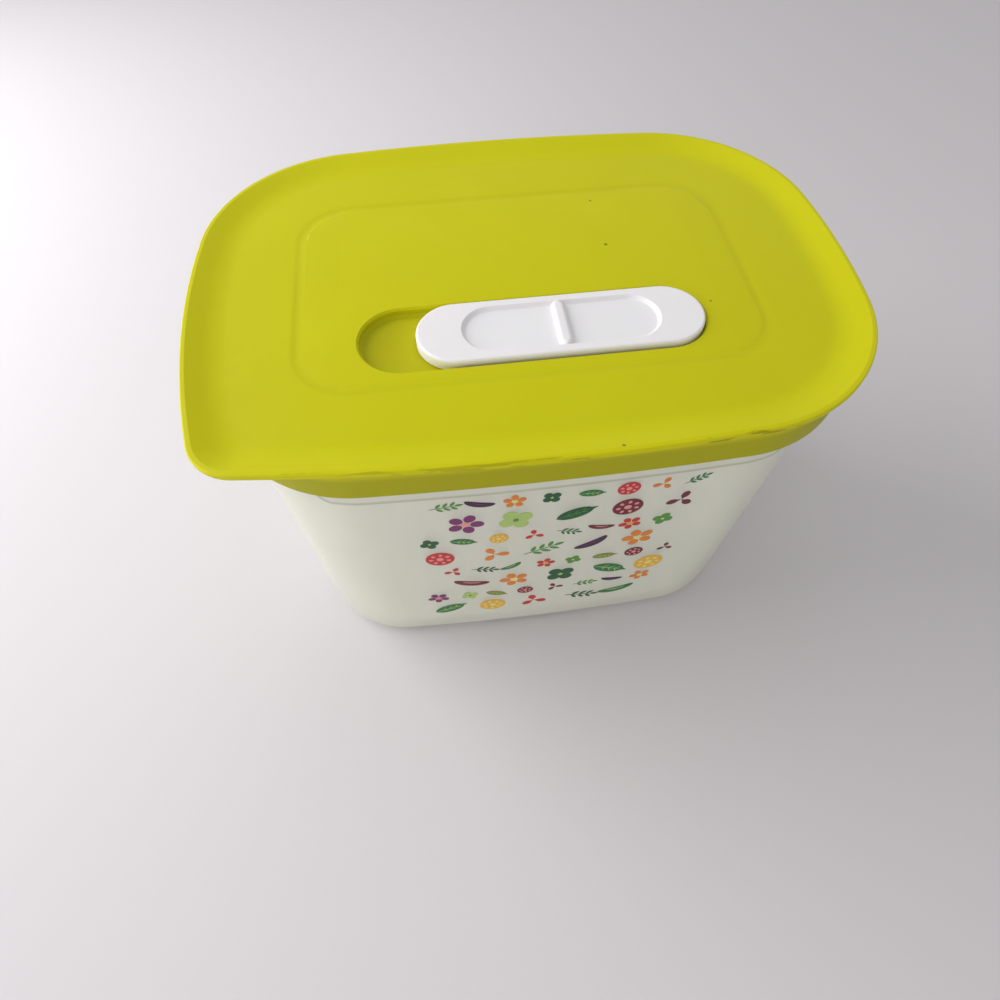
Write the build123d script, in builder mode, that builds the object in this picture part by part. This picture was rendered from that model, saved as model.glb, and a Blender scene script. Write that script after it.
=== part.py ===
from build123d import *
from math import radians, tan
import os

# Produce keeper: a tapered translucent tub, a push-on tray lid and a sliding air vent in the lid.
# Millimetres. The origin is the centre of the footprint on the table, +X runs along the tub's
# length towards the closed end of the vent slide, +Y runs to the back and +Z is up.

# Tub
base_half_length = 84.2
base_half_width = 62.2
end_bulge = 5.5
side_bulge = 3.2
base_corner_radius = 33.0
wall_draft = 2.2
tub_wall = 2.0
tub_floor = 2.0
rim_height = 121.2
heel_radius = 5.0
inner_heel_radius = 4.0

# Foot ring under the tub
foot_height = 1.6
foot_ring_width = 9.0
foot_gap_length = 43.0
foot_gap_width = 38.0
foot_gap_slope = 60.0

# Raised air ribs on the tub's floor, in rows across the tub
rib_height = 3.5
rib_width = 1.8
rib_pitch = 15.0
rib_columns = 9
rib_rows = 2
rib_inset = 9.0
rib_channel = 7.0
rib_root = 0.4

# Rim bead and the thumb band below it
bead_height = 3.4
bead_reach = 1.0
bead_chamfer = 0.45
band_length = 128.8
band_height = 5.7
band_gap = 0.5
band_reach = 1.5
band_corner = 4.2

# Lid
lid_half_length = 99.9
lid_half_width = 71.4
lid_end_bulge = 9.0
lid_side_bulge = 6.2
lid_corner_radius = 49.0
tab_corner_radius = 14.0
lip_thickness = 1.6
lip_land = 1.4
lip_round = 0.55
tray_depth = 2.6
tray_slope = 70.0
tray_floor_round = 20.0
panel_thickness = 1.8
skirt_height = 8.2
skirt_wall = 1.6
skirt_clearance = 0.3
skirt_chamfer = 0.5
plug_depth = 6.2
plug_wall = 1.3
plug_clearance = 0.3

# Shallow groove round the middle of the lid
groove_length = 140.0
groove_width = 85.0
groove_corner = 18.0
groove_span = 3.2
groove_depth = 0.4
groove_slope = 70.0

# Vent recess in the lid
recess_width = 24.9
recess_y = -22.7
recess_depth = 2.8
recess_wall = 1.6
recess_floor = 1.4
recess_chamfer = 0.8
recess_flare = 0.6
recess_flare_slope = 45.0
thumb_dish_inset = 12.0
thumb_dish_radius = 75.0
thumb_dish_depth = 0.8

# Air ports through the recess floor
port_ring_radius = 2.5
port_ring_count = 4
port_hole_radius = 1.4

# Vent slider
slider_length = 84.2
slider_travel = 15.8
slider_end_gap = 0.5
slider_side_gap = 0.7
slider_height = 3.6
slider_floor_gap = 0.4
slider_top_round = 0.8
slider_edge_wall = 1.5
slider_hollow = 1.6
dish_length = 58.2
dish_width = 18.0
dish_depth = 1.1
dish_slope = 40.0
dish_round = 0.6
ridge_thickness = 4.0
ridge_proud = 0.5
ridge_round = 1.3

# Post that joins the slider to its keeper, and the keeper
post_length = 6.0
post_width = 3.0
post_fit = 0.1
slot_clearance = 0.3
hook_height = 1.0
hook_reach = 0.7
hook_slope = 25.0
keeper_length = 14.0
keeper_width = 9.0
keeper_thickness = 1.4
keeper_gap = 0.3
keeper_chamfer = 0.45

# Soft seals in a row under the slider
seal_gap = 0.25
seal_overlap = 0.8
seal_space = 2.1
left_seal_extra = 1.0
right_seal_extra = 3.0
slot_seal_width = 7.0

# Heights worked out from the sizes above
inside_floor = foot_height + tub_floor
panel_under = rim_height
panel_top = panel_under + panel_thickness
lid_top = panel_top + tray_depth
skirt_low = panel_under - skirt_height
plug_low = panel_under - plug_depth
bowl_depth = lid_top - lip_thickness - panel_under
band_low = skirt_low - band_gap - band_height
rib_low = inside_floor - rib_root
recess_bottom = panel_top - recess_depth
recess_under = recess_bottom - recess_floor
slider_low = recess_bottom + slider_floor_gap
slider_top = slider_low + slider_height
hollow_top = slider_low + slider_hollow
dish_bottom = slider_top - dish_depth
keeper_low = recess_under - keeper_gap - keeper_thickness
seal_low = recess_bottom + seal_gap

# Reaches and places worked out from the sizes above
wall_growth = tan(radians(wall_draft))
bead_grow = rim_height * wall_growth + bead_reach
channel_grow = bead_grow + skirt_clearance
plug_grow = plug_low * wall_growth - tub_wall - plug_clearance
rib_length = (2 * (base_half_width - tub_wall - rib_inset) - (rib_rows - 1) * rib_channel) / rib_rows
recess_length = slider_length + slider_travel + 2 * slider_end_gap
slider_width = recess_width - 2 * slider_side_gap
slider_x = slider_travel / 2
thumb_dish_x = thumb_dish_inset - recess_length / 2

# The row of seals is centred under the slider, and the ports and the post stand under their seals
slot_length = post_length + slider_travel + 2 * slot_clearance
seal_reach = port_ring_radius + port_hole_radius + seal_overlap
left_seal_length = 2 * seal_reach + left_seal_extra
right_seal_length = 2 * seal_reach + right_seal_extra
slot_seal_length = 2 * (slot_length + seal_overlap) - post_length
seal_row = left_seal_length + slot_seal_length + right_seal_length + 2 * seal_space
left_seal_start = slider_x - seal_row / 2
slot_seal_start = left_seal_start + left_seal_length + seal_space
right_seal_start = slot_seal_start + slot_seal_length + seal_space
left_port_x = left_seal_start + seal_reach
post_x = slot_seal_start + slot_seal_length / 2
right_port_x = right_seal_start + seal_reach


def bowed_outline(half_length, half_width, bulge_x, bulge_y, corner, tab_corner, grow):
    """A rectangle with bowed sides and round corners, all its sizes larger by grow."""
    reach_x = half_length + grow
    reach_y = half_width + grow
    box_x = reach_x - bulge_x
    box_y = reach_y - bulge_y
    with BuildSketch() as outline:
        with BuildLine():
            ThreePointArc((-box_x, -box_y), (0, -reach_y), (box_x, -box_y))
            ThreePointArc((box_x, -box_y), (reach_x, 0), (box_x, box_y))
            ThreePointArc((box_x, box_y), (0, reach_y), (-box_x, box_y))
            ThreePointArc((-box_x, box_y), (-reach_x, 0), (-box_x, -box_y))
        make_face()
        # The front left corner has its own radius, and the three others share one
        fillet(outline.vertices().sort_by(lambda v: v.X + v.Y)[0], tab_corner + grow)
        fillet(outline.vertices().sort_by(lambda v: v.X + v.Y)[-3:], corner + grow)
    return outline.sketch


def tub_outline(grow):
    """The tub's outline at the table, grown on all sides."""
    return bowed_outline(
        base_half_length,
        base_half_width,
        end_bulge,
        side_bulge,
        base_corner_radius,
        base_corner_radius,
        grow,
    )


def lid_outline(grow):
    """The lid's lip with its lifting tab at the front left corner, grown on all sides."""
    return bowed_outline(
        lid_half_length,
        lid_half_width,
        lid_end_bulge,
        lid_side_bulge,
        lid_corner_radius,
        tab_corner_radius,
        grow,
    )


def level_face(part, height):
    """The flat level face of a part that lies nearest to a height."""
    return part.faces().filter_by(Plane.XY).sort_by(lambda face: abs(face.center().Z - height))[0]


def side_faces(part):
    """The faces of a part that aren't level."""
    return part.faces().filter_by(Plane.XY, reverse=True)


# Thumb bands: the raised strips under the rim on both long sides
with BuildPart() as bands:
    with BuildSketch(Plane.XY.offset(band_low)):
        add(tub_outline(band_low * wall_growth + band_reach))
    extrude(amount=band_height)
    draft(side_faces(bands), Plane.XY.offset(band_low), -wall_draft)
    with BuildSketch(Plane.XZ) as band_profile:
        with Locations((0, band_low + band_height / 2)):
            Rectangle(band_length, band_height)
        fillet(band_profile.vertices().group_by(Axis.Y)[0], band_corner)
    extrude(amount=base_half_width + lid_half_width, both=True, mode=Mode.INTERSECT)

# Air ribs: short bars in rows, with channels between the rows
with BuildPart() as ribs:
    with BuildSketch(Plane.XY.offset(rib_low)):
        with GridLocations(rib_pitch, rib_length + rib_channel, rib_columns, rib_rows):
            Rectangle(rib_width, rib_length)
    extrude(amount=rib_root + rib_height)
    with BuildSketch(Plane.XY.offset(rib_low)):
        add(tub_outline(-tub_wall - rib_inset))
    extrude(amount=rib_root + rib_height, mode=Mode.INTERSECT)

# Cavity: the space inside the tub, with a rounded foot
with BuildPart() as cavity:
    with BuildSketch(Plane.XY.offset(inside_floor)):
        add(tub_outline(inside_floor * wall_growth - tub_wall))
    extrude(amount=rim_height - inside_floor)
    draft(side_faces(cavity), Plane.XY.offset(inside_floor), -wall_draft)
    fillet(level_face(cavity, inside_floor).edges(), inner_heel_radius)

# Tub: tapered wall, rim bead, thumb bands, floor with ribs and a foot ring broken by four gaps
with BuildPart() as tub:
    with BuildSketch():
        add(tub_outline(0))
    extrude(amount=rim_height)
    draft(side_faces(tub), Plane.XY, -wall_draft)
    fillet(level_face(tub, 0).edges(), heel_radius)
    with BuildSketch(Plane.XY.offset(rim_height - bead_height)):
        add(tub_outline(bead_grow))
    extrude(amount=bead_height)
    chamfer(level_face(tub, rim_height).edges(), bead_chamfer)
    add(bands.part)
    add(cavity.part, mode=Mode.SUBTRACT)
    add(ribs.part)
    with BuildSketch():
        add(tub_outline(-heel_radius - foot_ring_width))
    extrude(amount=foot_height, mode=Mode.SUBTRACT)
    with BuildSketch(Plane.XZ):
        Trapezoid(foot_gap_length, 2 * foot_height, foot_gap_slope)
    extrude(amount=2 * base_half_width, both=True, mode=Mode.SUBTRACT)
    with BuildSketch(Plane.YZ):
        Trapezoid(foot_gap_width, 2 * foot_height, foot_gap_slope)
    extrude(amount=2 * base_half_length, both=True, mode=Mode.SUBTRACT)

# Tray: the space inside the lid's lip, with sloping sides and a rounded foot
with BuildPart() as tray:
    with BuildSketch(Plane.XY.offset(panel_top)):
        add(lid_outline(-lip_land))
    extrude(amount=tray_depth + lip_thickness)
    chamfer(level_face(tray, panel_top).edges(), tray_depth, tray_depth * tan(radians(tray_slope)))
    fillet(level_face(tray, panel_top).edges(), tray_floor_round)

# Thumb dish: the shallow hollow at the open end of the recess's floor
with BuildPart() as thumb_dish:
    with BuildSketch(Plane.XY.offset(recess_bottom - thumb_dish_depth)):
        with Locations((0, recess_y)):
            SlotOverall(recess_length - 2 * recess_chamfer, recess_width - 2 * recess_chamfer)
    extrude(amount=thumb_dish_depth)
    with Locations((thumb_dish_x, recess_y, recess_bottom + thumb_dish_radius - thumb_dish_depth)):
        Sphere(thumb_dish_radius, mode=Mode.INTERSECT)

# Lid: bowl with its lip, skirt over the rim, plug inside the rim, groove and vent recess
with BuildPart() as lid:
    with BuildSketch(Plane.XY.offset(panel_under)):
        add(lid_outline(0))
    extrude(amount=lid_top - panel_under)
    chamfer(level_face(lid, panel_under).edges(), bowl_depth, bowl_depth * tan(radians(tray_slope)))
    with BuildSketch(Plane.XY.offset(skirt_low)):
        add(tub_outline(channel_grow + skirt_wall))
    extrude(amount=skirt_height + bowl_depth)
    chamfer(level_face(lid, skirt_low).edges(), skirt_chamfer)
    with BuildSketch(Plane.XY.offset(skirt_low)):
        add(tub_outline(channel_grow))
    extrude(amount=skirt_height, mode=Mode.SUBTRACT)
    with BuildSketch(Plane.XY.offset(plug_low)):
        add(tub_outline(plug_grow))
        add(tub_outline(plug_grow - plug_wall), mode=Mode.SUBTRACT)
    extrude(amount=plug_depth)
    add(tray.part, mode=Mode.SUBTRACT)
    fillet(level_face(lid, lid_top).edges(), lip_round)
    with BuildSketch(Plane.XY.offset(panel_top)):
        RectangleRounded(groove_length, groove_width, groove_corner)
    extrude(amount=-groove_depth, taper=groove_slope, mode=Mode.SUBTRACT)
    with BuildSketch(Plane.XY.offset(panel_top - groove_depth)):
        RectangleRounded(
            groove_length - 2 * groove_span,
            groove_width - 2 * groove_span,
            groove_corner - groove_span,
        )
    extrude(amount=groove_depth, taper=groove_slope)
    with BuildSketch(Plane.XY.offset(recess_under)):
        with Locations((0, recess_y)):
            SlotOverall(recess_length + 2 * recess_wall, recess_width + 2 * recess_wall)
    extrude(amount=panel_under - recess_under)
    with BuildSketch(Plane.XY.offset(panel_top)):
        with Locations((0, recess_y)):
            SlotOverall(recess_length + 2 * recess_flare, recess_width + 2 * recess_flare)
    extrude(amount=-recess_flare, taper=recess_flare_slope, mode=Mode.SUBTRACT)
    with BuildSketch(Plane.XY.offset(recess_bottom)):
        with Locations((0, recess_y)):
            SlotOverall(recess_length, recess_width)
    extrude(amount=recess_depth, mode=Mode.SUBTRACT)
    chamfer(level_face(lid, recess_bottom).edges(), recess_chamfer)
    add(thumb_dish.part, mode=Mode.SUBTRACT)
    for port_x in (left_port_x, right_port_x):
        with Locations((port_x, recess_y, recess_bottom)):
            with PolarLocations(port_ring_radius, port_ring_count):
                Hole(port_hole_radius, depth=recess_floor)
    with BuildSketch(Plane.XY.offset(recess_under)):
        with Locations((post_x - slider_travel / 2, recess_y)):
            SlotOverall(slot_length, post_width + 2 * slot_clearance)
    extrude(amount=recess_floor, mode=Mode.SUBTRACT)

# Vent slider: a thin oval cap with a thumb dish, a grip ridge across it and a hooked post below
with BuildPart() as slider:
    with BuildSketch(Plane.XY.offset(slider_low)):
        with Locations((slider_x, recess_y)):
            SlotOverall(slider_length, slider_width)
    extrude(amount=slider_height)
    with BuildSketch(Plane.XY.offset(slider_low)):
        with Locations((slider_x, recess_y)):
            SlotOverall(slider_length - 2 * slider_edge_wall, slider_width - 2 * slider_edge_wall)
    extrude(amount=slider_hollow, mode=Mode.SUBTRACT)
    fillet(level_face(slider, slider_top).edges(), slider_top_round)
    with BuildSketch(Plane.XY.offset(slider_top)):
        with Locations((slider_x, recess_y)):
            SlotOverall(dish_length, dish_width)
    extrude(amount=-dish_depth, taper=dish_slope, mode=Mode.SUBTRACT)
    fillet(level_face(slider, dish_bottom).edges(), dish_round)
    with BuildSketch(Plane.XY.offset(dish_bottom)):
        with Locations((slider_x, recess_y)):
            SlotOverall(dish_width, ridge_thickness, rotation=90)
    extrude(amount=dish_depth + ridge_proud)
    fillet(level_face(slider, slider_top + ridge_proud).edges(), ridge_round)
    with BuildSketch(Plane.XY.offset(hollow_top)):
        with Locations((post_x, recess_y)):
            SlotOverall(post_length, post_width)
    extrude(amount=keeper_low - hollow_top)
    with BuildSketch(Plane.XY.offset(keeper_low)):
        with Locations((post_x, recess_y)):
            SlotOverall(post_length + 2 * hook_reach, post_width + 2 * hook_reach)
    extrude(amount=-hook_height, taper=hook_slope)

# Keeper: the plate under the recess that the post's hook holds
with BuildPart() as keeper:
    with BuildSketch(Plane.XY.offset(keeper_low)):
        with Locations((post_x, recess_y)):
            SlotOverall(keeper_length, keeper_width)
            SlotOverall(post_length + 2 * post_fit, post_width + 2 * post_fit, mode=Mode.SUBTRACT)
    extrude(amount=keeper_thickness)
    chamfer(level_face(keeper, keeper_low).outer_wire().edges(), keeper_chamfer)


def seal_pad(start_x, length, width):
    """A flat oval seal that starts at a place along the slide, from the slider's hollow downwards."""
    with BuildPart() as pad:
        with BuildSketch(Plane.XY.offset(seal_low)):
            with Locations((start_x + length / 2, recess_y)):
                SlotOverall(length, width)
        extrude(amount=hollow_top - seal_low)
        chamfer(level_face(pad, seal_low).edges(), seal_gap)
    return pad.part


# Left seal: starts to uncover its port soon after the slider leaves the closed end
with BuildPart() as left_seal:
    add(seal_pad(left_seal_start, left_seal_length, 2 * seal_reach))

# Right seal: is longer, so its port opens later
with BuildPart() as right_seal:
    add(seal_pad(right_seal_start, right_seal_length, 2 * seal_reach))

# Slot seal: fits round the post and covers the post's slot at every place of the slider
with BuildPart() as slot_seal:
    add(seal_pad(slot_seal_start, slot_seal_length, slot_seal_width))
    with BuildSketch(Plane.XY.offset(seal_low)):
        with Locations((post_x, recess_y)):
            SlotOverall(post_length + 2 * post_fit, post_width + 2 * post_fit)
    extrude(amount=hollow_top - seal_low, mode=Mode.SUBTRACT)

os.makedirs("parts", exist_ok=True)
pieces = {
    "tub": tub,
    "lid": lid,
    "vent_slider": slider,
    "slider_keeper": keeper,
    "left_port_seal": left_seal,
    "right_port_seal": right_seal,
    "slot_seal": slot_seal,
}
for name, piece in pieces.items():
    piece.part.label = name
    export_step(piece.part, f"parts/{name}.step")
    print(name, "solids", len(piece.solids()), "volume", round(piece.part.volume))
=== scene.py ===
import math
import random

import bpy
from mathutils import Matrix, Vector


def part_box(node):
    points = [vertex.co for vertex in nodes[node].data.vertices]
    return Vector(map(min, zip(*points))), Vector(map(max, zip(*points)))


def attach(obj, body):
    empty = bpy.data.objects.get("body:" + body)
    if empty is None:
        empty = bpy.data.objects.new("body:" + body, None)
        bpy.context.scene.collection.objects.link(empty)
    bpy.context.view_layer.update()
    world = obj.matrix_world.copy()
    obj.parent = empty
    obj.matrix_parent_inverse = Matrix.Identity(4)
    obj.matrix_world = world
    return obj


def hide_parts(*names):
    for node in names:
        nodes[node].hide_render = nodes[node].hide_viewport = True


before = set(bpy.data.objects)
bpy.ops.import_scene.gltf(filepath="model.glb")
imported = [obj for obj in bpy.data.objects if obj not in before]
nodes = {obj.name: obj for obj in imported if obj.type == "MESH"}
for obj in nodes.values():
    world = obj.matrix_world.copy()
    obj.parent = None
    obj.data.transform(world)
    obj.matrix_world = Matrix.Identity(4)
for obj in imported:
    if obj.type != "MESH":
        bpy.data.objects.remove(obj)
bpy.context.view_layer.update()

print("frame loaded:", ", ".join(sorted(nodes)))


def srgb(red, green, blue):
    # a colour as seen on screen, 0 to 255, turned into the linear values that shaders use
    linear = []
    for level in (red / 255, green / 255, blue / 255):
        linear.append(((level + 0.055) / 1.055) ** 2.4 if level > 0.04045 else level / 12.92)
    return (*linear, 1.0)


# Camera: where the photograph was taken from. Metres and radians, for a square picture.
cameraView = {
    "place": (-0.02831, -0.16247, 0.25546),
    "turnRight": 0.1302,
    "tiltDown": 1.0084,
    "roll": 0.0013,
    "lens": 23.52,
    "sensor": 36.0,
    "nearClip": 0.01,
}


def makeCamera():
    turn = cameraView["turnRight"]
    tilt = cameraView["tiltDown"]
    roll = cameraView["roll"]
    flat = math.cos(tilt)
    forward = Vector((math.sin(turn) * flat, math.cos(turn) * flat, -math.sin(tilt)))
    level = Vector((math.cos(turn), -math.sin(turn), 0))
    upright = level.cross(forward)
    right = math.cos(roll) * level + math.sin(roll) * upright
    up = math.cos(roll) * upright - math.sin(roll) * level
    data = bpy.data.cameras.new("photoCamera")
    data.sensor_width = cameraView["sensor"]
    data.lens = cameraView["lens"]
    data.clip_start = cameraView["nearClip"]
    camera = bpy.data.objects.new("photoCamera", data)
    bpy.context.scene.collection.objects.link(camera)
    facing = Matrix((right, up, -forward)).transposed().to_4x4()
    camera.matrix_world = Matrix.Translation(cameraView["place"]) @ facing
    bpy.context.scene.camera = camera


makeCamera()
print("camera placed")


def addNode(tree, kind, inputs=None, **settings):
    # settings are the node's own options; inputs are fixed values or sockets to link from
    node = tree.nodes.new(kind)
    for label, value in settings.items():
        setattr(node, label, value)
    for label, value in (inputs or {}).items():
        if isinstance(value, bpy.types.NodeSocket):
            tree.links.new(value, node.inputs[label])
        else:
            node.inputs[label].default_value = value
    return node


def calc(tree, operation, *values):
    # one Math node on numbers or sockets
    return addNode(tree, "ShaderNodeMath", dict(enumerate(values)), operation=operation).outputs[0]


def scaled(tree, value, factor, shift=0.0):
    return calc(tree, "MULTIPLY_ADD", value, factor, shift)


def remap(tree, value, low, high, newLow=0.0, newHigh=1.0):
    # low becomes newLow and high becomes newHigh, and nothing goes past them
    inputs = {"Value": value, "From Min": low, "From Max": high, "To Min": newLow, "To Max": newHigh}
    return addNode(tree, "ShaderNodeMapRange", inputs).outputs[0]


def mixColor(tree, factor, first, second):
    inputs = {"Factor": factor, 6: first, 7: second}  # 6 and 7 are the node's two colours
    return addNode(tree, "ShaderNodeMix", inputs, data_type="RGBA").outputs[2]


def tinted(tree, color, mask, share, tint):
    # a colour with a tint laid over it, as strongly as the mask and its share say
    return mixColor(tree, scaled(tree, mask, share), color, tint)


# Shader effects that several materials share, each a node group that is built once

def newGroup(name, inputs, outputs):
    group = bpy.data.node_groups.new(name, "ShaderNodeTree")
    group.interface.new_socket(name="Vector", in_out="INPUT", socket_type="NodeSocketVector")
    for label, value in inputs.items():
        socket = group.interface.new_socket(name=label, in_out="INPUT", socket_type="NodeSocketFloat")
        socket.default_value = value
    for label in outputs:
        group.interface.new_socket(name=label, in_out="OUTPUT", socket_type="NodeSocketFloat")
    return group, group.nodes.new("NodeGroupInput").outputs, group.nodes.new("NodeGroupOutput").inputs


def makeMouldedGrain():
    # fine mould texture as a height, and slow uneven flow of the plastic as a value
    group, given, out = newGroup("mouldedGrain", {"Grain": 1800.0, "Flow": 14.0}, ["Height", "Flow"])
    grain = addNode(group, "ShaderNodeTexNoise",
                    {"Vector": given["Vector"], "Scale": given["Grain"], "Detail": 3.0})
    flow = addNode(group, "ShaderNodeTexNoise",
                   {"Vector": given["Vector"], "Scale": given["Flow"], "Detail": 4.0, "Roughness": 0.55})
    group.links.new(grain.outputs["Fac"], out["Height"])
    group.links.new(flow.outputs["Fac"], out["Flow"])
    return group


def makeSpecks():
    # small round specks of dirt, in a share of the cells of a loose pattern
    group, given, out = newGroup("specks", {"Scale": 90.0, "Size": 0.05, "Share": 0.2}, ["Mask"])
    cells = addNode(group, "ShaderNodeTexVoronoi", {"Vector": given["Vector"], "Scale": given["Scale"]})
    chance = addNode(group, "ShaderNodeSeparateColor", {"Color": cells.outputs["Color"]})
    radius = calc(group, "MULTIPLY", chance.outputs["Green"], given["Size"])
    inside = calc(group, "LESS_THAN", cells.outputs["Distance"], radius)
    chosen = calc(group, "LESS_THAN", chance.outputs["Red"], given["Share"])
    group.links.new(calc(group, "MULTIPLY", inside, chosen), out["Mask"])
    return group


def makeSmudges():
    # soft patches where hands have rubbed the surface
    group, given, out = newGroup("smudges", {"Scale": 22.0, "Low": 0.52, "High": 0.68}, ["Mask"])
    patches = addNode(group, "ShaderNodeTexNoise",
                      {"Vector": given["Vector"], "Scale": given["Scale"], "Detail": 5.0,
                       "Roughness": 0.6, "Distortion": 0.6})
    group.links.new(remap(group, patches.outputs["Fac"], given["Low"], given["High"]), out["Mask"])
    return group


mouldedGrain = makeMouldedGrain()
specks = makeSpecks()
smudges = makeSmudges()
print("shader groups made")


def newMaterial(name, shaderValues):
    # a material with a Principled shader, its constants set on the shader's own sockets
    material = bpy.data.materials.new(name)
    material.use_nodes = True
    tree = material.node_tree
    shader = tree.nodes["Principled BSDF"]
    for label, value in shaderValues.items():
        shader.inputs[label].default_value = value
    place = tree.nodes.new("ShaderNodeTexCoord")
    return material, tree, shader, place.outputs["Object"]


def useGroup(tree, group, vector, values):
    node = tree.nodes.new("ShaderNodeGroup")
    node.node_tree = group
    tree.links.new(vector, node.inputs["Vector"])
    for label, value in values.items():
        node.inputs[label].default_value = value
    return node.outputs


def addGrain(tree, shader, place, look):
    # gives the shader the mould's fine grain, and hands back the flow of the plastic
    grain = useGroup(tree, mouldedGrain, place, look["grain"])
    bump = addNode(tree, "ShaderNodeBump",
                   {"Height": grain["Height"], "Distance": look["grainDistance"],
                    "Strength": look["grainStrength"]})
    tree.links.new(bump.outputs["Normal"], shader.inputs["Normal"])
    return grain["Flow"]


def addRoughness(tree, shader, flow, look):
    # a roughness that follows the flow, spread evenly about its middle value
    low = look["roughness"] - look["roughnessSpread"] / 2
    tree.links.new(scaled(tree, flow, look["roughnessSpread"], low), shader.inputs["Roughness"])


# Lid plastic: lime green with a fine grain, uneven flow, rubbed patches, a few specks, and painted shade
# on the skirt and in the vent recess
lidLook = {
    "shader": {"IOR": 1.49, "Specular IOR Level": 0.16, "Subsurface Weight": 0.1,
               "Subsurface Scale": 0.003},
    "lime": srgb(207, 204, 4),
    "deepLime": srgb(197, 193, 5),
    "grain": {"Grain": 1500.0, "Flow": 9.0},
    "grainDistance": 0.00004,
    "grainStrength": 0.35,
    "roughness": 0.44,
    "roughnessSpread": 0.16,
    "rubbed": srgb(211, 208, 18),
    "rubbedShare": 0.35,
    "rubbing": {"Scale": 26.0, "Low": 0.55, "High": 0.75},
    "dirt": srgb(92, 88, 30),
    "dirtShare": 0.75,
    "specks": {"Scale": 75.0, "Size": 0.055, "Share": 0.16},
    "scuff": srgb(124, 98, 20),
    "scuffShare": 0.55,
    "scuffReach": 0.0009,  # how far in from the front edge the scuffs lie
    "scuffStart": -0.035,  # they gain in strength from here to scuffFull, along the edge
    "scuffFull": 0.02,
    "scuffLeast": 0.5,
    "scuffStretch": (90.0, 700.0, 700.0),
    "scuffDetail": 3.0,
    "scuffNoise": (0.53, 0.6),  # where in the noise a scuff starts, and where it is whole
    "frontBow": 0.747,  # how the front edge curves back, in metres for x squared
    # painted shade: a darker lime painted on the skirt under the lip and, at half strength, in the vent
    # recess
    "skirtPaintedShade": srgb(168, 165, 9),
    "skirtTop": 0.1232,  # under the lip, where the plastic turns down into the skirt
    "skirtLow": 0.1205,
    "middleReach": (0.056, 0.04),  # the vent recess lies inside this, and gets less of the painted shade
    "recessShadeShare": 0.5,
}


def lipScuffs(tree, place):
    # short brown rub marks along the outer edge of the front lip, more of them to the right
    axes = addNode(tree, "ShaderNodeSeparateXYZ", {"Vector": place}).outputs
    squared = calc(tree, "MULTIPLY", axes["X"], axes["X"])
    edge = scaled(tree, squared, lidLook["frontBow"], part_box("lid")[0][1])
    inward = calc(tree, "SUBTRACT", axes["Y"], edge)
    near = remap(tree, inward, lidLook["scuffReach"], lidLook["scuffReach"] / 2)
    along = remap(tree, axes["X"], lidLook["scuffStart"], lidLook["scuffFull"], lidLook["scuffLeast"])
    stretch = addNode(tree, "ShaderNodeMapping", {"Vector": place, "Scale": lidLook["scuffStretch"]})
    streaks = addNode(tree, "ShaderNodeTexNoise",
                      {"Vector": stretch.outputs[0], "Scale": 1.0, "Detail": lidLook["scuffDetail"]})
    marks = remap(tree, streaks.outputs["Fac"], *lidLook["scuffNoise"])
    return calc(tree, "MULTIPLY", calc(tree, "MULTIPLY", near, along), marks)


def skirtShadeShare(tree, place):
    # painted shade: below the tray, the skirt under the lip and, more weakly, the vent recess are painted
    # a darker lime in place of their shadow
    axes = addNode(tree, "ShaderNodeSeparateXYZ", {"Vector": place}).outputs
    below = remap(tree, axes["Z"], lidLook["skirtTop"], lidLook["skirtLow"])
    beyond = []
    for axis, reach in zip("XY", lidLook["middleReach"]):
        away = calc(tree, "ABSOLUTE", axes[axis])
        beyond.append(calc(tree, "GREATER_THAN", away, reach))
    share = remap(tree, calc(tree, "MAXIMUM", *beyond), 0.0, 1.0, lidLook["recessShadeShare"])
    return calc(tree, "MULTIPLY", below, share)


def makeLidPlastic():
    material, tree, shader, place = newMaterial("lidPlastic", lidLook["shader"])
    flow = addGrain(tree, shader, place, lidLook)
    addRoughness(tree, shader, flow, lidLook)
    rubbing = useGroup(tree, smudges, place, lidLook["rubbing"])
    dirt = useGroup(tree, specks, place, lidLook["specks"])
    color = mixColor(tree, flow, lidLook["lime"], lidLook["deepLime"])
    color = tinted(tree, color, rubbing["Mask"], lidLook["rubbedShare"], lidLook["rubbed"])
    color = tinted(tree, color, dirt["Mask"], lidLook["dirtShare"], lidLook["dirt"])
    color = tinted(tree, color, lipScuffs(tree, place), lidLook["scuffShare"], lidLook["scuff"])
    # painted shade on the skirt and in the vent recess
    color = mixColor(tree, skirtShadeShare(tree, place), color, lidLook["skirtPaintedShade"])
    tree.links.new(color, shader.inputs["Base Color"])
    return material


# Tub plastic: milky and translucent, satin outside, with faint flow, handling marks, and a painted shade
# line along the thumb band's lower edge
tubLook = {
    # at this Alpha, the rest of the light goes straight through each side of a wall
    "shader": {"IOR": 1.4, "Alpha": 0.66, "Transmission Weight": 0.3, "Specular IOR Level": 0.3},
    "milk": srgb(251, 251, 240),
    "shade": srgb(247, 248, 234),
    "grain": {"Grain": 700.0, "Flow": 12.0},
    "grainDistance": 0.00003,
    "grainStrength": 0.3,
    "roughness": 0.4,
    "rubbedRoughness": 0.1,  # what rubbing adds to the roughness
    "rubbing": {"Scale": 30.0, "Low": 0.5, "High": 0.72},
    # painted shade along the lower edge and round ends of the thumb band, partly standing for the thicker
    # plastic there
    "bandEdgeShade": srgb(186, 192, 168),
    "bandShadeShare": 0.8,
    "bandHalfLength": 0.0644,
    "bandLow": 0.1068,
    "bandHigh": 0.1125,
    "bandCorner": 0.0042,
    "bandEdgeWidth": 0.0011,
    "wallBow": 0.45,  # how the long walls curve in towards their ends, in metres for x squared
    "wallInner": 0.0649,
    "wallOuter": 0.0657,
}


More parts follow.
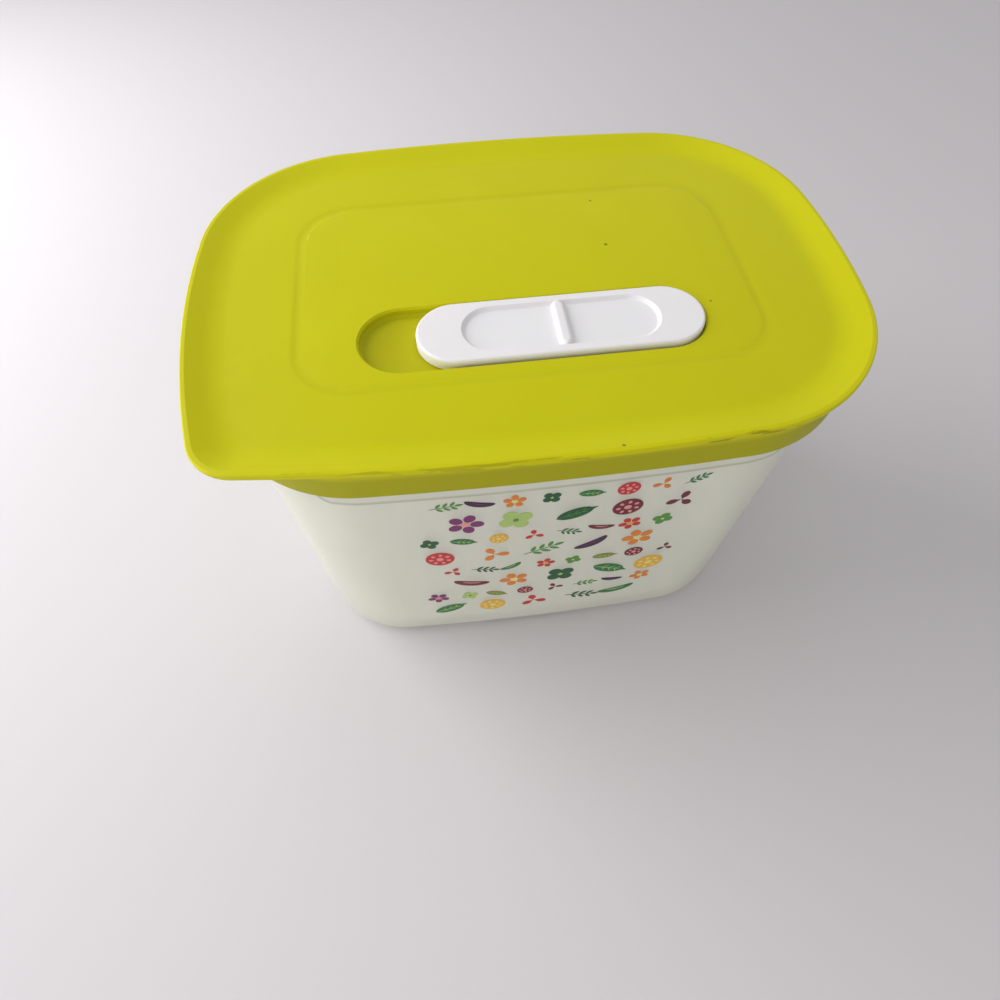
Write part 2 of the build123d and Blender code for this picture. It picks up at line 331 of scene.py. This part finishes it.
def bandEdgeShade(tree, place):
    # painted shade: a darker line along the lower edge and round ends of the thumb band, standing for the
    # shade under its edge and partly for the thicker plastic there
    axes = addNode(tree, "ShaderNodeSeparateXYZ", {"Vector": place}).outputs
    corner = tubLook["bandCorner"]
    sideways = calc(tree, "ABSOLUTE", axes["X"])
    out = scaled(tree, sideways, 1.0, corner - tubLook["bandHalfLength"])
    down = scaled(tree, axes["Z"], -1.0, tubLook["bandLow"] + corner)
    squares = []
    for past in (out, down):
        outside = calc(tree, "MAXIMUM", past, 0.0)
        squares.append(calc(tree, "MULTIPLY", outside, outside))
    reach = calc(tree, "SQRT", calc(tree, "ADD", *squares))
    offset = calc(tree, "ABSOLUTE", scaled(tree, reach, 1.0, tubLook["bandEdgeWidth"] / 2 - corner))
    line = remap(tree, offset, tubLook["bandEdgeWidth"], 0.0)
    below = calc(tree, "LESS_THAN", axes["Z"], tubLook["bandHigh"])
    # measured as if the wall were straight, so that the line stays off the inside and the ends
    bowed = calc(tree, "MULTIPLY", sideways, sideways)
    straight = scaled(tree, bowed, tubLook["wallBow"], calc(tree, "ABSOLUTE", axes["Y"]))
    outer = remap(tree, straight, tubLook["wallInner"], tubLook["wallOuter"])
    return calc(tree, "MULTIPLY", line, calc(tree, "MULTIPLY", below, outer))


def makeTubPlastic():
    material, tree, shader, place = newMaterial("tubPlastic", tubLook["shader"])
    flow = addGrain(tree, shader, place, tubLook)
    rubbing = useGroup(tree, smudges, place, tubLook["rubbing"])
    color = mixColor(tree, flow, tubLook["milk"], tubLook["shade"])
    # painted shade along the thumb band's lower edge
    color = tinted(tree, color, bandEdgeShade(tree, place), tubLook["bandShadeShare"], tubLook["bandEdgeShade"])
    tree.links.new(color, shader.inputs["Base Color"])
    rough = scaled(tree, rubbing["Mask"], tubLook["rubbedRoughness"], tubLook["roughness"])
    tree.links.new(rough, shader.inputs["Roughness"])
    return material


# White plastic of the vent slider and its keeper
sliderLook = {
    "shader": {"IOR": 1.49, "Subsurface Weight": 0.08, "Subsurface Scale": 0.003},
    "white": srgb(245, 242, 243),
    "grey": srgb(237, 234, 236),
    "grain": {"Grain": 1900.0, "Flow": 40.0},
    "grainDistance": 0.00003,
    "grainStrength": 0.25,
    "roughness": 0.36,
    "roughnessSpread": 0.14,
    "dirt": srgb(150, 146, 140),
    "dirtShare": 0.6,
    "specks": {"Scale": 160.0, "Size": 0.06, "Share": 0.08},
}


def makeSliderPlastic():
    material, tree, shader, place = newMaterial("sliderPlastic", sliderLook["shader"])
    flow = addGrain(tree, shader, place, sliderLook)
    addRoughness(tree, shader, flow, sliderLook)
    dirt = useGroup(tree, specks, place, sliderLook["specks"])
    color = mixColor(tree, flow, sliderLook["white"], sliderLook["grey"])
    color = tinted(tree, color, dirt["Mask"], sliderLook["dirtShare"], sliderLook["dirt"])
    tree.links.new(color, shader.inputs["Base Color"])
    return material


# Soft pale rubber of the seals
sealLook = {
    "shader": {"IOR": 1.45},
    "pale": srgb(206, 205, 200),
    "dusty": srgb(190, 189, 183),
    "grain": {"Grain": 900.0, "Flow": 80.0},
    "grainDistance": 0.00004,
    "grainStrength": 0.3,
    "roughness": 0.62,
    "roughnessSpread": 0.2,
}


def makeSealRubber():
    material, tree, shader, place = newMaterial("sealRubber", sealLook["shader"])
    flow = addGrain(tree, shader, place, sealLook)
    addRoughness(tree, shader, flow, sealLook)
    color = mixColor(tree, flow, sealLook["pale"], sealLook["dusty"])
    tree.links.new(color, shader.inputs["Base Color"])
    return material


def dress(nodeName, material):
    node = nodes[nodeName]
    node.data.materials.clear()
    node.data.materials.append(material)


sliderPlastic = makeSliderPlastic()
sealRubber = makeSealRubber()
lidPlastic = makeLidPlastic()
dress("tub", makeTubPlastic())
dress("vent_slider", sliderPlastic)
dress("slider_keeper", sliderPlastic)
for sealName in ("left_port_seal", "right_port_seal", "slot_seal"):
    dress(sealName, sealRubber)
print("plastics made")


def deselectAll():
    if bpy.context.object and bpy.context.object.mode != "OBJECT":
        bpy.ops.object.mode_set(mode="OBJECT")
    bpy.ops.object.select_all(action="DESELECT")


def activeOnly(piece):
    deselectAll()
    piece.select_set(True)
    bpy.context.view_layer.objects.active = piece


def selectVertices(piece, test):
    # picks vertices by their place, and the edges and faces between them, and goes to edit mode
    bpy.ops.object.mode_set(mode="OBJECT")
    vertices = piece.data.vertices
    for vertex in vertices:
        vertex.select = test(vertex.co)
    for edge in piece.data.edges:
        edge.select = all(vertices[corner].select for corner in edge.vertices)
    for face in piece.data.polygons:
        face.select = all(vertices[corner].select for corner in face.vertices)
    bpy.ops.object.mode_set(mode="EDIT")


# Lid: a merged copy of the solid, whose groove is worn shallow and shades softly
lidShape = {
    "grooveLow": 0.1226,  # the height of the groove's bottom in the solid
    "grooveLift": 0.00013,  # how far the copy's is raised
    "nearLevel": 0.00005,
    "grooveReach": (0.0735, 0.046),  # half the length and half the width that the groove lies within
    "recessReach": (0.052, 0.0135),  # the same of the vent recess, which is left alone
    "recessY": -0.0227,
    "smoothAngle": math.radians(28),
    "mergeDistance": 0.000001,
}


def inGroove(co):
    # on the bottom of the groove, and not on the walls of the vent recess
    reachX, reachY = lidShape["grooveReach"]
    recessX, recessY = lidShape["recessReach"]
    inRecess = abs(co.x) < recessX and abs(co.y - lidShape["recessY"]) < recessY
    atLevel = abs(co.z - lidShape["grooveLow"]) < lidShape["nearLevel"]
    return atLevel and abs(co.x) < reachX and abs(co.y) < reachY and not inRecess


def makeLidShell():
    solid = nodes["lid"]
    shell = bpy.data.objects.new("lidShell", solid.data.copy())
    bpy.context.scene.collection.objects.link(shell)
    activeOnly(shell)
    bpy.ops.mesh.customdata_custom_splitnormals_clear()
    bpy.ops.object.mode_set(mode="EDIT")
    bpy.ops.mesh.select_all(action="SELECT")
    bpy.ops.mesh.remove_doubles(threshold=lidShape["mergeDistance"])
    selectVertices(shell, inGroove)
    bpy.ops.transform.translate(value=(0, 0, lidShape["grooveLift"]))
    bpy.ops.object.mode_set(mode="OBJECT")
    bpy.ops.object.shade_smooth_by_angle(angle=lidShape["smoothAngle"])
    weights = shell.modifiers.new("flatFaces", "WEIGHTED_NORMAL")
    weights.keep_sharp = True
    bpy.ops.object.modifier_apply(modifier=weights.name)
    shell.data.materials.clear()
    shell.data.materials.append(lidPlastic)
    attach(shell, "lid_body")
    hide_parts("lid")


makeLidShell()
print("lid shell made")


# Print on the front wall: garden motifs in produce colours, rows of large ones and of small ones
printPlan = {
    "left": -0.0425,
    "right": 0.0475,
    "low": 0.0145,
    "high": 0.1035,
    "bands": 4,
    "largeShare": 0.64,  # of a band's height; the rest is its row of small motifs
    "largeColumns": 5,
    "smallColumns": 8,
    "largeScale": 1.58,
    "seed": 11,
    "jitter": 0.07,  # sideways, as a share of the step from one motif to the next
    "scaleRange": (0.9, 1.1),
    "turnRange": (-0.5, 0.6),
    "motifStep": 3,  # from one place to the next, in the list of motifs
    "startDistance": 0.2,  # in front of the wall, before the print is laid on it
    "firstLayer": 0.00006,
    "secondLayer": 0.00014,
    "thickness": 0.00005,
}
inkLook = {
    "shader": {"IOR": 1.45},
    "darkShare": 0.8,  # how much of its colour the ink keeps where it is darkest
    "grain": {"Grain": 1200.0, "Flow": 220.0},
    "grainDistance": 0.00002,
    "grainStrength": 0.2,
    "roughness": 0.46,
    "roughnessSpread": 0.12,
}
inkColors = {
    "forest": srgb(22, 88, 48),
    "emerald": srgb(34, 118, 66),
    "leaf": srgb(84, 148, 56),
    "olive": srgb(134, 142, 58),
    "sage": srgb(176, 204, 112),
    "orange": srgb(228, 132, 40),
    "red": srgb(202, 46, 44),
    "maroon": srgb(112, 26, 46),
    "plum": srgb(126, 40, 106),
    "midnight": srgb(54, 28, 58),
    "butter": srgb(236, 226, 140),
    "amber": srgb(238, 184, 52),
    "rose": srgb(236, 156, 152),
}


def makeInk(name, color):
    material, tree, shader, place = newMaterial("ink" + name.capitalize(), inkLook["shader"])
    flow = addGrain(tree, shader, place, inkLook)
    addRoughness(tree, shader, flow, inkLook)
    dark = tuple(channel * inkLook["darkShare"] for channel in color[:3]) + (1.0,)
    tree.links.new(mixColor(tree, flow, color, dark), shader.inputs["Base Color"])
    return material


inks = {name: makeInk(name, color) for name, color in inkColors.items()}

# The ovals of ink that motifs are made of, for a motif that is about one unit long.
# tip and tail pull an end out to a point. Ovals with a gap stand in mirrored pairs along a stem,
# from the place first; those with a count stand round a ring, and spokeTurn 1 turns each with its spoke.
ovalShapes = {
    "leafBlade": {"length": 0.8, "height": 0.4, "sides": 24, "tip": 0.12, "tail": 0.03},
    "leafRib": {"length": 0.78, "height": 0.03, "sides": 8, "x": -0.04},
    "leafVein": {"length": 0.17, "height": 0.022, "sides": 8,
                 "first": -0.12, "gap": 0.17, "aside": 0.06, "turn": 0.75},
    "sprigStem": {"length": 0.9, "height": 0.035, "sides": 12},
    "sprigTip": {"length": 0.24, "height": 0.12, "sides": 24, "tip": 0.04, "x": 0.5},
    "sprigLeaf": {"length": 0.24, "height": 0.11, "sides": 16, "tip": 0.03,
                  "first": -0.13, "gap": 0.23, "aside": 0.13, "turn": 0.8},
    "petal": {"length": 0.36, "height": 0.3, "sides": 18,
              "count": 5, "reach": 0.3, "start": math.pi / 2, "spokeTurn": 1},
    "blossomHeart": {"length": 0.24, "height": 0.24, "sides": 16},
    "seed": {"length": 0.3, "height": 0.22, "sides": 16, "tip": 0.08,
             "count": 3, "reach": 0.24, "start": math.pi / 2, "spokeTurn": 1, "turn": math.pi},
    "rosetteDisc": {"length": 0.8, "height": 0.8, "sides": 32},
    "rosetteHeart": {"length": 0.2, "height": 0.2, "sides": 14},
    "rosetteDot": {"length": 0.13, "height": 0.1, "sides": 12,
                   "count": 7, "reach": 0.25, "start": 0.0, "spokeTurn": 1},
    "lobe": {"length": 0.34, "height": 0.34, "sides": 18,
             "count": 4, "reach": 0.22, "start": math.pi / 4, "spokeTurn": 0},
    "cloverHeart": {"length": 0.12, "height": 0.12, "sides": 12},
    "crescentBody": {"length": 1.05, "height": 0.3, "sides": 28, "bend": 1.0},
    "crescentShine": {"length": 0.6, "height": 0.05, "sides": 12, "y": 0.05, "bend": 1.0},
}
stemPairs = 3
ovalEnd = 0.499  # of its length: an oval's vertex that is further out is its end

# Each motif: its ovals in the first ink and in the second, its size in metres, and its ink pairs
motifs = {
    "leaf": {"first": ["leafBlade"], "second": ["leafRib", "leafVein"], "size": 0.0094,
             "inks": [("emerald", "sage"), ("forest", "leaf"), ("olive", "sage")]},
    "blossom": {"first": ["petal"], "second": ["blossomHeart"], "size": 0.0076,
                "inks": [("red", "amber"), ("orange", "butter"), ("plum", "rose")]},
    "sprig": {"first": ["sprigStem", "sprigTip", "sprigLeaf"], "second": [], "size": 0.0086,
              "inks": [("forest", "leaf"), ("emerald", "sage"), ("leaf", "sage")]},
    "rosette": {"first": ["rosetteDisc"], "second": ["rosetteHeart", "rosetteDot"], "size": 0.0078,
                "inks": [("maroon", "rose"), ("amber", "butter"), ("red", "rose")]},
    "clover": {"first": ["lobe"], "second": ["cloverHeart"], "size": 0.0082,
               "inks": [("sage", "leaf"), ("leaf", "butter"), ("forest", "sage")]},
    "crescent": {"first": ["crescentBody"], "second": ["crescentShine"], "size": 0.0083,
                 "inks": [("midnight", "plum"), ("emerald", "sage"), ("maroon", "rose")]},
    "seed": {"first": ["seed"], "second": [], "size": 0.0084,
             "inks": [("orange", "red"), ("maroon", "red"), ("red", "amber")]},
}


def makeOval(name, x, y, turn):
    oval = ovalShapes[name]
    deselectAll()
    bpy.ops.mesh.primitive_circle_add(vertices=oval["sides"], radius=0.5, fill_type="NGON")
    disc = bpy.context.object
    disc.name = name
    bpy.ops.transform.resize(value=(oval["length"], oval["height"], 1))
    bpy.ops.object.transform_apply(location=False, rotation=False, scale=True)
    for end, side in (("tip", 1), ("tail", -1)):
        if end in oval:
            selectVertices(disc, lambda co: co.x * side > ovalEnd * oval["length"])
            bpy.ops.transform.translate(value=(oval[end] * side, 0, 0))
            bpy.ops.object.mode_set(mode="OBJECT")
    disc.data.transform(Matrix.Translation((x, y, 0)) @ Matrix.Rotation(turn, 4, "Z"))
    if "bend" in oval:
        bend = disc.modifiers.new("bend", "SIMPLE_DEFORM")
        bend.deform_method = "BEND"
        bend.deform_axis = "Z"
        bend.angle = oval["bend"]
        bpy.ops.object.modifier_apply(modifier=bend.name)
    return disc


def makeOvals(name):
    # one oval, or pairs along a stem, or a ring of them
    oval = ovalShapes[name]
    turn = oval.get("turn", 0.0)
    if "gap" in oval:
        return [makeOval(name, oval["first"] + oval["gap"] * step, oval["aside"] * side, turn * side)
                for step in range(stemPairs) for side in (-1, 1)]
    if "count" in oval:
        angles = [math.tau * step / oval["count"] + oval["start"] for step in range(oval["count"])]
        return [makeOval(name, oval["reach"] * math.cos(angle), oval["reach"] * math.sin(angle),
                         angle * oval["spokeTurn"] + turn) for angle in angles]
    return [makeOval(name, oval.get("x", 0.0), oval.get("y", 0.0), turn)]


def joined(name, parts):
    activeOnly(parts[0])
    for part in parts:
        part.select_set(True)
    if len(parts) > 1:
        bpy.ops.object.join()
    parts[0].name = name
    return parts[0]


def modelMotif(name):
    # the motif's two layers of ink; one of one ink has no second
    layers = []
    for layer, suffix in (("first", "Master"), ("second", "MasterTop")):
        parts = [part for ovalName in motifs[name][layer] for part in makeOvals(ovalName)]
        layers.append(joined(name + suffix, parts) if parts else None)
    return layers


def printedCopy(master, ink, size, x, z, turn):
    # the motif, lying flat in front of the wall and turned to face the front
    copy = bpy.data.objects.new(master.name + "Copy", master.data.copy())
    bpy.context.scene.collection.objects.link(copy)
    copy.data.materials.clear()
    copy.data.materials.append(inks[ink])
    copy.data.transform(
        Matrix.Translation((x, -printPlan["startDistance"], z))
        @ Matrix.Rotation(math.pi / 2, 4, "X")
        @ Matrix.Rotation(turn, 4, "Z")
        @ Matrix.Scale(size, 4)
    )
    return copy


def layOnWall(piece, lift):
    # lays the flat print on the curved front wall and gives it the thickness of ink
    activeOnly(piece)
    wrap = piece.modifiers.new("layOn", "SHRINKWRAP")
    wrap.target = nodes["tub"]
    wrap.wrap_method = "PROJECT"
    wrap.wrap_mode = "ABOVE_SURFACE"
    wrap.use_project_y = True
    wrap.use_positive_direction = True
    wrap.use_negative_direction = False
    wrap.offset = lift
    bpy.ops.object.modifier_apply(modifier=wrap.name)
    thick = piece.modifiers.new("inkThickness", "SOLIDIFY")
    thick.thickness = printPlan["thickness"]
    thick.offset = 1.0
    bpy.ops.object.modifier_apply(modifier=thick.name)


def printPlaces(chance):
    # the centre, scale and turn of every motif, row by row from the bottom up
    bandHeight = (printPlan["high"] - printPlan["low"]) / printPlan["bands"]
    largeHeight = bandHeight * printPlan["largeShare"]
    width = printPlan["right"] - printPlan["left"]
    rows = (
        (printPlan["largeColumns"], largeHeight / 2, printPlan["largeScale"]),
        (printPlan["smallColumns"], (bandHeight + largeHeight) / 2, 1.0),
    )
    for band in range(printPlan["bands"]):
        stagger = (band % 2) / 2  # every second band starts half a step further on
        for columns, height, scale in rows:
            step = width / (columns + 0.5)
            z = printPlan["low"] + bandHeight * band + height
            for column in range(columns):
                x = printPlan["left"] + step * (column + 0.5 + stagger)
                x += step * chance.uniform(-printPlan["jitter"], printPlan["jitter"])
                size = scale * chance.uniform(*printPlan["scaleRange"])
                yield x, z, size, chance.uniform(*printPlan["turnRange"])


def makeFrontPrint():
    chance = random.Random(printPlan["seed"])
    order = list(motifs)
    perBand = printPlan["largeColumns"] + printPlan["smallColumns"]
    masters = {name: modelMotif(name) for name in order}
    layers = {name: ([], []) for name in order}
    for index, (x, z, scale, turn) in enumerate(printPlaces(chance)):
        name = order[(index * printPlan["motifStep"] + index // perBand) % len(order)]
        motif = motifs[name]
        inkPair = motif["inks"][(index + index // len(order)) % len(motif["inks"])]
        for layer, master, ink in zip(layers[name], masters[name], inkPair):
            if master:
                layer.append(printedCopy(master, ink, motif["size"] * scale, x, z, turn))
    for name, (first, second) in layers.items():
        for suffix, parts, lift in (("Print", first, printPlan["firstLayer"]),
                                    ("PrintTop", second, printPlan["secondLayer"])):
            if parts:
                piece = joined(name + suffix, parts)
                layOnWall(piece, lift)
                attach(piece, "tub_body")
        for master in masters[name]:
            if master:
                bpy.data.objects.remove(master)


makeFrontPrint()
print("front print laid on the wall")


# Floor, light and background
stageLook = {
    "floorPaint": {"Base Color": srgb(216, 212, 215), "Roughness": 0.9},
    "floorSize": 6.0,
    "floorLevel": -0.0004,
    "lampAim": (0, 0, 0.06),
    "lamps": {
        "keyLight": {"place": (-0.6, 0.2, 0.4), "size": 0.65, "power": 5.1},
        "fillLight": {"place": (0.1, 0.3, 1.5), "size": 1.2, "power": 2.4},
        "lowLight": {"place": (-0.6, -0.85, 0.16), "size": 0.7, "power": 3.9},
    },
    "world": {"Color": srgb(240, 240, 240), "Strength": 0.5},
    "backdrop": {"Color": srgb(228, 226, 230), "Strength": 1.0},
}


def makeFloor():
    deselectAll()
    bpy.ops.mesh.primitive_plane_add(size=stageLook["floorSize"], location=(0, 0, stageLook["floorLevel"]))
    floor = bpy.context.object
    floor.name = "floor"
    floor.data.materials.append(newMaterial("floorPaint", stageLook["floorPaint"])[0])


def makeLamp(name, lamp):
    data = bpy.data.lights.new(name, "AREA")
    data.size = lamp["size"]
    data.energy = lamp["power"]
    light = bpy.data.objects.new(name, data)
    bpy.context.scene.collection.objects.link(light)
    aim = Vector(stageLook["lampAim"]) - Vector(lamp["place"])
    facing = aim.to_track_quat("-Z", "Y").to_matrix().to_4x4()
    light.matrix_world = Matrix.Translation(lamp["place"]) @ facing


def makeWorld():
    # the world lights the object, while the camera and clear or mirrored rays see the backdrop
    world = bpy.data.worlds.new("studio")
    bpy.context.scene.world = world
    world.use_nodes = True
    tree = world.node_tree
    soft = tree.nodes["Background"]
    for label, value in stageLook["world"].items():
        soft.inputs[label].default_value = value
    seen = addNode(tree, "ShaderNodeBackground", stageLook["backdrop"])
    rays = tree.nodes.new("ShaderNodeLightPath").outputs
    direct = calc(tree, "MAXIMUM", rays["Is Camera Ray"], rays["Is Glossy Ray"])
    direct = calc(tree, "MAXIMUM", direct, rays["Is Transmission Ray"])
    mix = addNode(tree, "ShaderNodeMixShader", {0: direct, 1: soft.outputs[0], 2: seen.outputs[0]})
    tree.links.new(mix.outputs[0], tree.nodes["World Output"].inputs["Surface"])


makeFloor()
for lampName, lamp in stageLook["lamps"].items():
    makeLamp(lampName, lamp)
makeWorld()
bpy.context.scene.view_settings.view_transform = "Standard"
print("floor, lights and background set")
